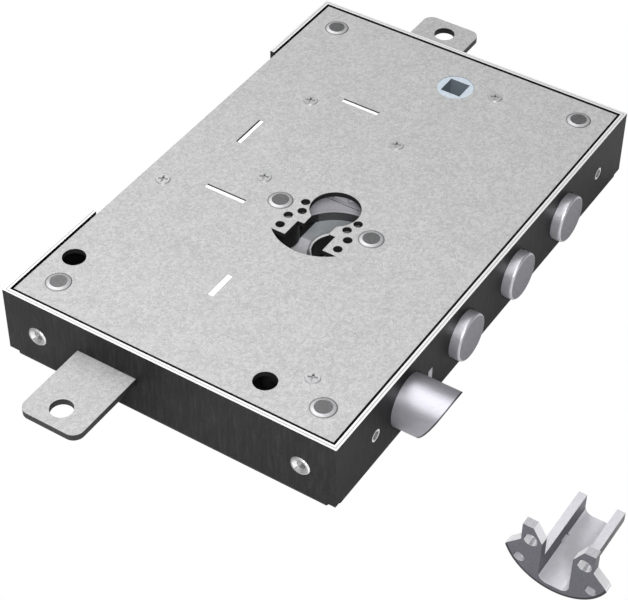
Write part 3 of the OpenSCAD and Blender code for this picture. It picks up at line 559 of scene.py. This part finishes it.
# %% [markdown]
# The gear that the key turns has a collar round the cylinder's place. Its upper faces are bright,
# the collar's top is duller than the gear below it, and its sides lie in the dark.

# %% Collar of the cylinder's gear
COLLAR_Z = 10.62

collar, marks = pressed("collar_steel")
upper_face = collar.shades(marks, (0.6, 0.6, 0.61), (0.72, 0.72, 0.73))
upper_face = collar.mix(collar.above("Z", COLLAR_Z), upper_face, (0.28, 0.29, 0.3))
collar.colour(collar.mix(collar.facing("Z", 0.3), grey(0.006), upper_face))
dress(collar, "cam_gear")

# %% [markdown]
# ## Return spring
# The latch's return spring gets shorter as the latch slides in. A rigid coil would be left
# sticking through the latch. So its coil is copied into a piece of its own, which is fixed to
# the case's body, and the copy takes the place of the plain coil.

# %% Return spring
dress(steel("spring_steel", (0.3, 0.3, 0.32), (0.5, 0.5, 0.52), 0.35, 0.9, (2, 2, 2)),
      "latch_spring")
coil = nodes["latch_spring"]
spring = bpy.data.objects.new("return_spring", coil.data.copy())
bpy.context.scene.collection.objects.link(spring)
spring.matrix_world = coil.matrix_world.copy()
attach(spring, "case")
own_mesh(spring)
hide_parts("latch_spring")
print("return spring:", len(spring.data.vertices), "points")

# %% [markdown]
# ## Rod guides
# The rods slide in guides behind the end walls. Brass is a common choice for a dry bearing, and
# it tells them apart from the steel round them.

# %% Rod guides
guides = steel("guide_brass", (0.55, 0.4, 0.16), (0.75, 0.58, 0.28), 0.35, 0.9, (1, 1, 1))
dress(guides, "upper_rod_guide", "lower_rod_guide")

# %% [markdown]
# ## Follower
# The handle's spindle turns the follower, a bluish casting. The walls of its square hole are
# painted dark, as the shade inside the hole. A mask on the larger of the two distances from its
# axis is square, as the hole is.

# %% Follower
FOLLOWER_Y = 85.0
SQUARE_HALF = 4.05
SQUARE_SKIN = 0.05

follower = Skin("follower_zinc", 0.3, 0.4)
cast = follower.noise((0.8, 0.8, 0.8), 3.0, 0.6)
far_x = follower.math("ABSOLUTE", follower.part("Object", "X"))
far_y = follower.math("ABSOLUTE", follower.offset("Y", FOLLOWER_Y))
in_square = follower.math("LESS_THAN", follower.math("MAXIMUM", far_x, far_y),
                          (SQUARE_HALF + SQUARE_SKIN) * MM)
ring = follower.shades(cast, (0.41, 0.47, 0.53), (0.5, 0.56, 0.62))
# Painted shade: the walls of the square hole are dark.
follower.colour(follower.mix(in_square, ring, (0.16, 0.19, 0.22)))
follower.rough(cast, 0.35, 0.5)
dress(follower, "handle_follower")

# %% [markdown]
# ## Cradle
# The loose cradle is cast zinc with a sandy skin. Its faces that look up are pale. High on the
# flange's wings the sloping ones are painted paler still, as painted light, and the level tops are
# greyer. Height and direction tell these faces apart, so one material is enough for the whole
# casting.

# %% Cradle, faces that look up
WINGS_Z = 12

zinc = Skin("cradle_zinc", 0.45, 0.42)
sand = zinc.noise((1.6, 1.6, 1.6), 4.0, 0.65)
cloud = zinc.noise((0.15, 0.15, 0.15), 2.0, 0.5)
upward = zinc.mix(cloud, zinc.shades(sand, lilac(0.42), lilac(0.56)), lilac(0.58))
# Painted light: the sloping faces high on the wings are paler than the other faces that look up.
upward = zinc.mix(zinc.above("Z", WINGS_Z), upward, (0.7, 0.7, 0.72))
level_top = zinc.both(zinc.above("Z", WINGS_Z), zinc.facing("Z", 0.97))
upward = zinc.mix(level_top, upward, zinc.shades(sand, (0.28, 0.28, 0.3), (0.46, 0.46, 0.48)))
print("cradle stands", round(span("cylinder_cradle", "Z")[1], 2), "mm high")

# %% [markdown]
# The sides of the cradle are painted darker, as painted shade. Two places are painted darker still,
# as painted shade: the outside of one arm, and the lower rim of the round flange, which is found by
# its distance from the flange's axis. Lamps could shade them, but these faces look the same way as
# paler ones.

# %% Cradle, sides
CRADLE_X = sum(span("cylinder_cradle", "X")) / 2
FLANGE_Z = 19
ARM_OUTSIDE = 6.5
RIM_R = 18.15
RIM_DROP = 3.0

from_x, from_z = zinc.offset("X", CRADLE_X), zinc.offset("Z", FLANGE_Z)
arm_side = zinc.both(zinc.facing("X", 0.4), zinc.math("GREATER_THAN", from_x, ARM_OUTSIDE * MM))
low_rim = zinc.both(zinc.math("GREATER_THAN", zinc.radius(from_x, from_z), RIM_R * MM),
                    zinc.math("LESS_THAN", from_z, -RIM_DROP * MM))
# Painted shade: the sides are dark, and darker still on one arm's outside and the flange's lower
# rim.
side = zinc.shades(sand, (0.058, 0.057, 0.07), (0.1, 0.098, 0.116))
side = zinc.mix(arm_side, side, (0.035, 0.034, 0.04))
side = zinc.mix(low_rim, side, (0.012, 0.012, 0.014))
zinc.colour(zinc.mix(zinc.facing("Z", 0.3), side, upward))
zinc.rough(sand, 0.34, 0.5)
zinc.bump(sand, 0.12, 0.03)
dress(zinc, "cylinder_cradle")

# %% [markdown]
# ## Softened edges
# Pressed and cut edges are never perfectly sharp, and a small bevel on them catches a thin line
# of light, as in the photograph. The bevel is a modifier, so the CAD mesh itself isn't changed.

# %% Softened edges
SOFT_EDGES = {"lower_rod": 0.25, "upper_rod": 0.25, "cover_plate": 0.12, "case_tray": 0.2}
SHARPEST_ROUND = 50

for name, width in SOFT_EDGES.items():
    bevel = nodes[name].modifiers.new("softened edges", "BEVEL")
    bevel.width = width * MM
    bevel.segments = 2
    bevel.limit_method = "ANGLE"
    bevel.angle_limit = math.radians(SHARPEST_ROUND)
print("softened", len(SOFT_EDGES), "sheet parts")

# %% [markdown]
# ## Floor and surroundings
# The photograph has a plain white background. Stronger lamps could bleach a grey floor, but they
# would bleach the lock too. So the floor and the world are white only where the camera looks at
# them, and throw a plainer light back on the lock.

# %% White for the camera
WHITE = (1, 1, 1, 1)


def white_to_camera(tree, shaded, out, where=None):
    """Show plain white to the camera, where a mask allows it, and a shader to all other rays."""
    seen = tree.nodes.new("ShaderNodeLightPath").outputs["Is Camera Ray"]
    if where is not None:
        both = tree.nodes.new("ShaderNodeMath")
        both.operation = "MULTIPLY"
        tree.links.new(seen, both.inputs[0])
        tree.links.new(where, both.inputs[1])
        seen = both.outputs[0]
    on_floor = out.type == "OUTPUT_MATERIAL"
    glow = tree.nodes.new("ShaderNodeEmission" if on_floor else "ShaderNodeBackground")
    glow.inputs["Color"].default_value = WHITE
    glow.inputs["Strength"].default_value = 1.0
    blend = tree.nodes.new("ShaderNodeMixShader")
    for source, socket in ((seen, 0), (shaded, 1), (glow.outputs[0], 2)):
        tree.links.new(source, blend.inputs[socket])
    tree.links.new(blend.outputs[0], out.inputs["Surface"])


# %% [markdown]
# The floor is one large square just under the lock. Within a small circle round the cylinder's
# axis it stays shaded, so that the lock's through openings look dark.

# %% Floor
FLOOR_HALF = 3.0
FLOOR_Z = -0.0006
SHADED_R = 0.055
PALE = (0.7, 0.7, 0.7, 1)

corners = [(x * FLOOR_HALF, y * FLOOR_HALF, FLOOR_Z)
           for x, y in ((-1, -1), (1, -1), (1, 1), (-1, 1))]
floor_mesh = bpy.data.meshes.new("floor")
floor_mesh.from_pydata(corners, [], [(0, 1, 2, 3)])
floor = bpy.data.objects.new("floor", floor_mesh)
bpy.context.scene.collection.objects.link(floor)
pale = Skin("pale_floor", 0.0, 0.9)
pale.shader.inputs["Base Color"].default_value = PALE
from_axis = pale.node("ShaderNodeVectorMath", operation="LENGTH")
pale.link(pale.space.outputs["Object"], from_axis.inputs[0])
beyond_lock = pale.math("GREATER_THAN", from_axis.outputs["Value"], SHADED_R)
white_to_camera(pale.tree, pale.shader.outputs[0], pale.tree.nodes["Material Output"], beyond_lock)
floor_mesh.materials.append(pale.material)
print("floor", 2 * FLOOR_HALF, "m wide")

# %% [markdown]
# The world is a dim, slightly cool white. It fills the shadows a little, as the walls of a room do.

# %% World
ROOM_COLOUR = (0.9, 0.9, 0.92, 1)
ROOM_STRENGTH = 0.15

world = bpy.data.worlds.new("studio")
world.use_nodes = True
bpy.context.scene.world = world
room = world.node_tree.nodes["Background"]
room.inputs["Color"].default_value = ROOM_COLOUR
room.inputs["Strength"].default_value = ROOM_STRENGTH
white_to_camera(world.node_tree, room.outputs[0], world.node_tree.nodes["World Output"])
print("world strength", ROOM_STRENGTH)

# %% [markdown]
# ## Lamps
# Soft square lamps stand round the lock. The largest hangs above it and lights the cover evenly.
# A small one in front gives the bolts and the latch a bright line, and one behind lights the
# far edges. A sun lamp would be simpler, but its light is too hard for bare metal.

# %% Lamps
CYLINDER_AXIS = (0, 0, 0)
CASE_CENTRE = (0, 0.05, 0)


def lamp(name, place, target, size, power):
    light = bpy.data.lights.new(name, "AREA")
    light.shape = "SQUARE"
    light.size = size
    light.energy = power
    made = bpy.data.objects.new(name, light)
    made.location = place
    aim = Vector(target) - Vector(place)
    made.rotation_euler = aim.to_track_quat("-Z", "Y").to_euler()
    bpy.context.scene.collection.objects.link(made)
    print(name, "of", power, "W at", place)


lamp("top_lamp", (-0.36, -0.3, 1.1), CYLINDER_AXIS, 1.3, 14)
lamp("key_lamp", (0.47, -0.73, 0.81), CYLINDER_AXIS, 0.25, 14)
lamp("back_lamp", (-0.7, 0.35, 1.0), CASE_CENTRE, 0.8, 6)

# %% [markdown]
# ## Camera
# The camera was worked out from the corners of the case in the photograph. Its three axes are
# given as the columns of a rotation. Aiming it at a point would be shorter, but would lose the
# slight roll that the photograph has.

# %% Camera
SENSOR_WIDTH = 36
LENS = 110.42
NEAREST = 0.01
CAMERA_PLACE = (0.27314, -0.43919, 0.47645)
RIGHT = (0.83909, 0.54397, 0.00469)
UP = (-0.37734, 0.57579, 0.72531)
BACK = (0.39185, -0.61037, 0.68840)

camera_data = bpy.data.cameras.new("camera")
camera_data.sensor_width = SENSOR_WIDTH
camera_data.lens = LENS
camera_data.clip_start = NEAREST
camera = bpy.data.objects.new("camera", camera_data)
turn = Matrix((RIGHT, UP, BACK)).transposed()
camera.matrix_world = Matrix.Translation(CAMERA_PLACE) @ turn.to_4x4()
bpy.context.scene.collection.objects.link(camera)
bpy.context.scene.camera = camera
bpy.context.scene.view_settings.view_transform = "Standard"
print("camera at", tuple(round(v, 3) for v in camera.location))
